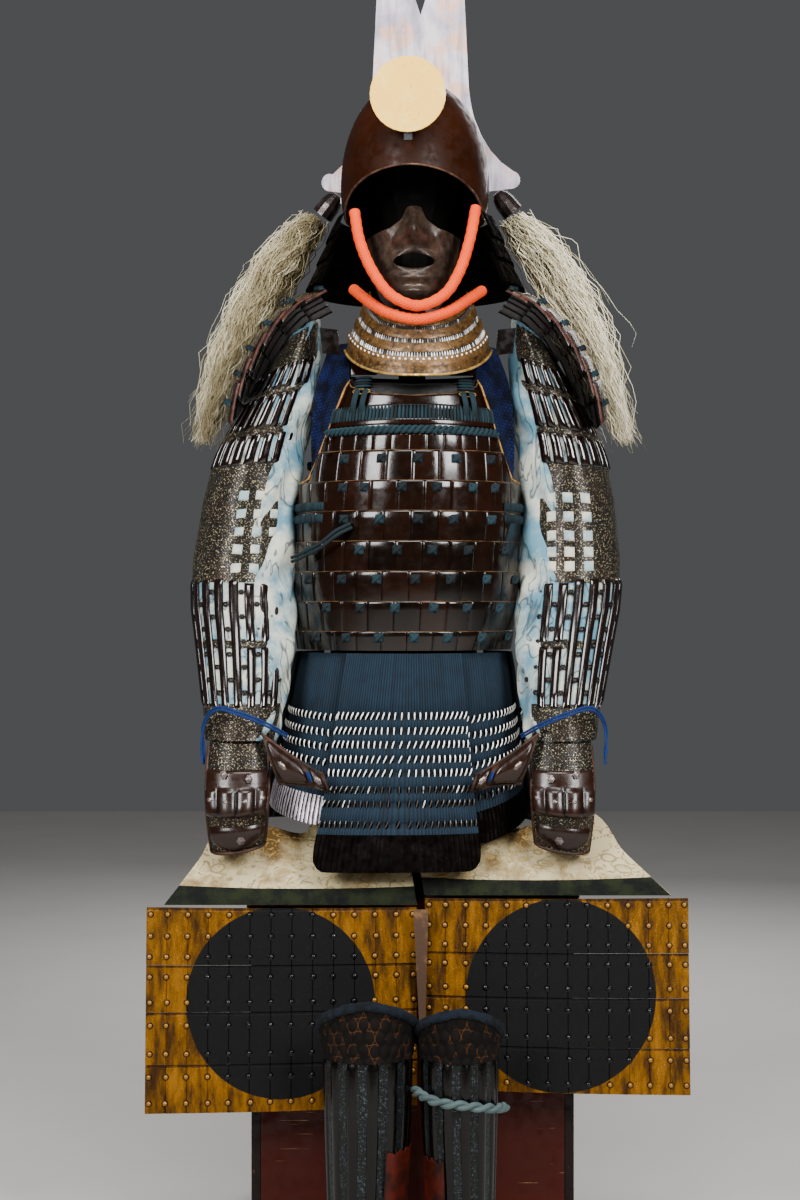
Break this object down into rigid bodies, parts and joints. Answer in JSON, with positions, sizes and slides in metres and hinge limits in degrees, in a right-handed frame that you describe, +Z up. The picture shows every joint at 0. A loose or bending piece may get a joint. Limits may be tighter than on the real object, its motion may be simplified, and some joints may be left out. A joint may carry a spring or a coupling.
{
  "type": "samurai armour with its storage box and stand",
  "caption": "Laced and riveted suit of armour with helmet, half mask, armoured sleeves, thigh and shin guards, seated on its lacquered box and a plain wooden stand.",
  "frame": {"origin": "on the floor, under the middle of the bounding box of the armour, box and stand, cords and ties left out", "axes": "+Z up, -Y to the front of the armour, +X to the right of someone who looks at its front"},
  "size_m": [0.761, 0.5956, 1.992],
  "materials": {
    "red_lacquer": "worn red-brown lacquer, scratched, with black edges",
    "plain_wood": "bare planed wood",
    "brown_lacquer": "glossy dark brown urushi lacquer on iron and rawhide",
    "dark_iron": "russet-black lacquered iron, satin",
    "pale_gold": "pale gold leaf, slightly spotted",
    "gilt_lame": "gold lacquer worn to brown, silver-white lacing",
    "silver_leaf": "silver leaf tarnished to lilac and grey",
    "hair": "cream and grey animal hair",
    "orange_cord": "padded orange silk cord",
    "navy_cloth": "navy cloth quilted in small hexagons",
    "blue_lace": "dense dark blue silk lacing over black lames",
    "teal_lace": "dark green-blue braid",
    "pale_cloth": "pale blue dyed hemp under mail and iron splints",
    "gold_leaf": "old gold leaf on small rawhide plates, black discs",
    "brocade": "cream silk brocade with a faded scroll pattern",
    "quilted_cloth": "dark hexagon-quilted cloth with gold thread",
    "leather": "worn brown leather",
    "rope": "twisted grey-green cord"
  },
  "bodies": {
    "root": {"helmet_bowl": "brown_lacquer", "crest_disc": "pale_gold", "crest_post": "dark_iron", "rear_plate": "silver_leaf", "neck_lame_1": "dark_iron", "neck_lame_2": "dark_iron", "neck_lame_3": "dark_iron", "hair_socket_left": "dark_iron", "hair_socket_right": "dark_iron", "box_body": "red_lacquer", "box_lid": "red_lacquer", "stand_post": "plain_wood", "stand_head": "plain_wood", "throat_lame_1": "gilt_lame", "throat_lame_2": "gilt_lame", "throat_lame_3": "gilt_lame", "throat_lame_4": "gilt_lame", "mask": "dark_iron", "chin_cord_cheek": "orange_cord", "chin_cord_jaw": "orange_cord", "cuirass_front": "brown_lacquer", "cuirass_back": "brown_lacquer", "hair_tuft_left": "hair", "shoulder_strap_left": "brown_lacquer", "shoulder_tab_left": "brown_lacquer", "vest_left": "navy_cloth", "shoulder_guard_left": "brown_lacquer", "sleeve_left": "pale_cloth", "hand_plate_left": "dark_iron", "thumb_plate_left": "dark_iron", "shin_guard_left": "dark_iron", "knee_pad_left": "quilted_cloth", "hair_tuft_right": "hair", "shoulder_strap_right": "brown_lacquer", "shoulder_tab_right": "brown_lacquer", "vest_right": "navy_cloth", "shoulder_guard_right": "brown_lacquer", "sleeve_right": "pale_cloth", "hand_plate_right": "dark_iron", "thumb_plate_right": "dark_iron", "shin_guard_right": "dark_iron", "knee_pad_right": "quilted_cloth", "skirt_front": "blue_lace", "skirt_front_left": "blue_lace", "skirt_front_right": "blue_lace", "skirt_side_left": "blue_lace", "skirt_side_right": "blue_lace", "skirt_back_left": "blue_lace", "skirt_back_right": "blue_lace", "thigh_waistband": "brocade", "thigh_cloth_left": "brocade", "thigh_plates_left": "gold_leaf", "thigh_cloth_right": "brocade", "thigh_plates_right": "gold_leaf", "centre_strip": "leather", "shin_tie": "rope", "side_tie": "teal_lace", "wrist_cord_left": "navy_cloth", "wrist_cord_right": "navy_cloth"}
  },
  "joints": []
}
